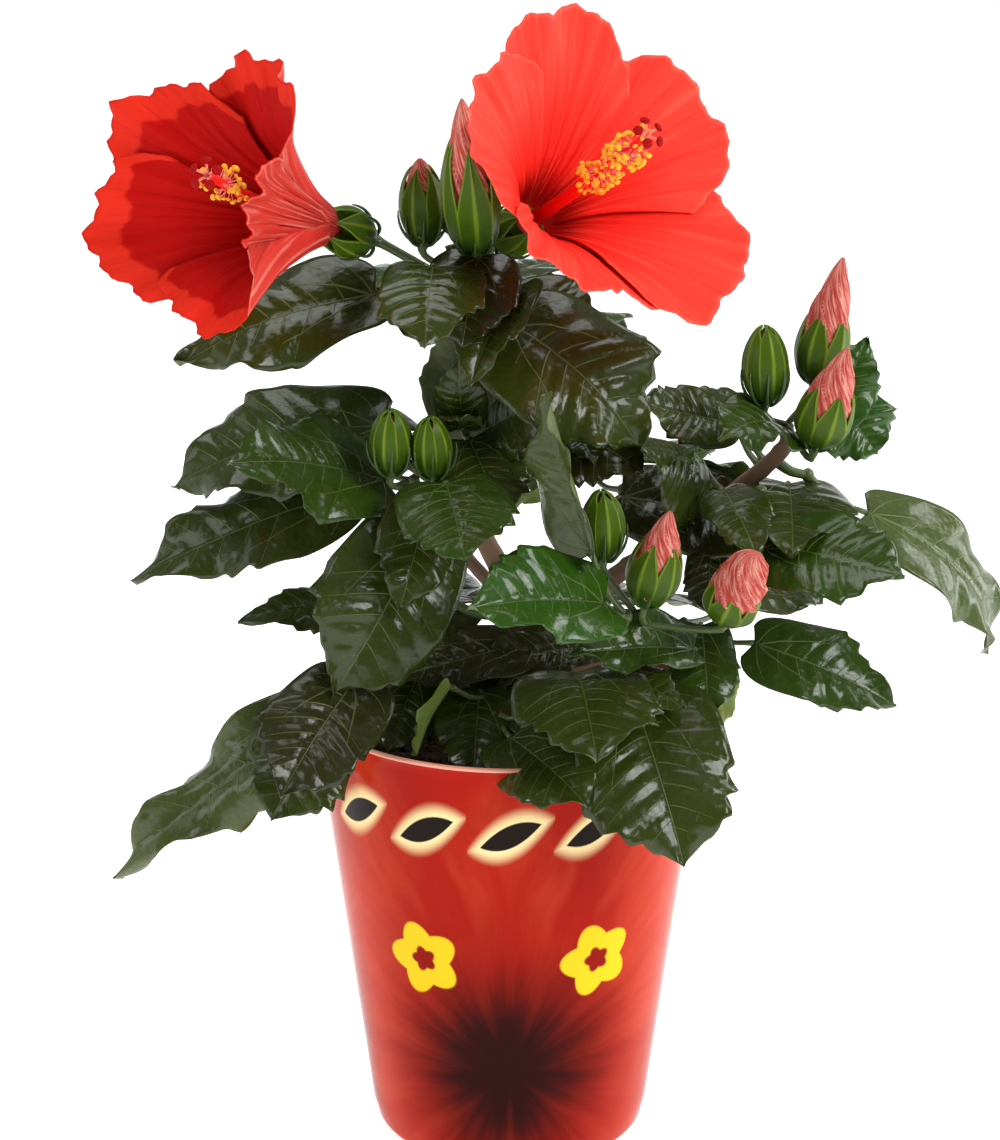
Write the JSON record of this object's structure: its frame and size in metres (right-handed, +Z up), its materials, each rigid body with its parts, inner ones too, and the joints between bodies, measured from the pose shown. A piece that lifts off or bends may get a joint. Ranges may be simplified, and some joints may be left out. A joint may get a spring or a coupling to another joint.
{
  "type": "potted hibiscus shrub",
  "caption": "Flowering hibiscus shrub with glossy toothed leaves, open red blooms and green buds, standing in a tall tapered round red pot.",
  "frame": {"origin": "centre of the pot's flat underside", "axes": "+Z up, the blooms look towards -Y, +X towards the long arching leaf"},
  "size_m": [0.289, 0.2168, 0.3776],
  "materials": {
    "pot": "glossy printed plastic, red with fine streaks and a dark foot, bare light rim",
    "soil": "crumbly dark peat with light grains",
    "bark": "brown woody bark with fine ridges, greener towards the tips",
    "leaf": "glossy dark green leaf with paler veins and a dull light green underside",
    "petal": "satin scarlet petal with fine veins, crimson at the throat",
    "bud": "satin light green sepals round rolled pink petals"
  },
  "bodies": {
    "root": {"bloom_left": "petal", "bloom_right": "petal", "bough_back_left": "bark", "bough_back_right": "bark", "bough_front": "bark", "bough_left": "bark", "bough_low_left": "bark", "bough_low_right": "bark", "bough_right": "bark", "bough_top_back": "bark", "buds_front": "bud", "buds_left": "bud", "buds_right": "bud", "buds_top": "bud", "foliage_back_left": "leaf", "foliage_back_low": "leaf", "foliage_back_middle": "leaf", "foliage_back_right": "leaf", "foliage_back_top": "leaf", "foliage_back_upper": "leaf", "foliage_bud_side": "leaf", "foliage_column": "leaf", "foliage_far_right": "leaf", "foliage_front": "leaf", "foliage_front_low": "leaf", "foliage_left": "leaf", "foliage_left_hanging": "leaf", "foliage_left_small": "leaf", "foliage_low_left": "leaf", "foliage_low_right": "leaf", "foliage_middle": "leaf", "foliage_right": "leaf", "foliage_spear": "leaf", "foliage_top": "leaf", "foliage_top_right": "leaf", "foliage_upper_left": "leaf", "pot": "pot", "soil": "soil", "stem_main": "bark"}
  },
  "joints": []
}
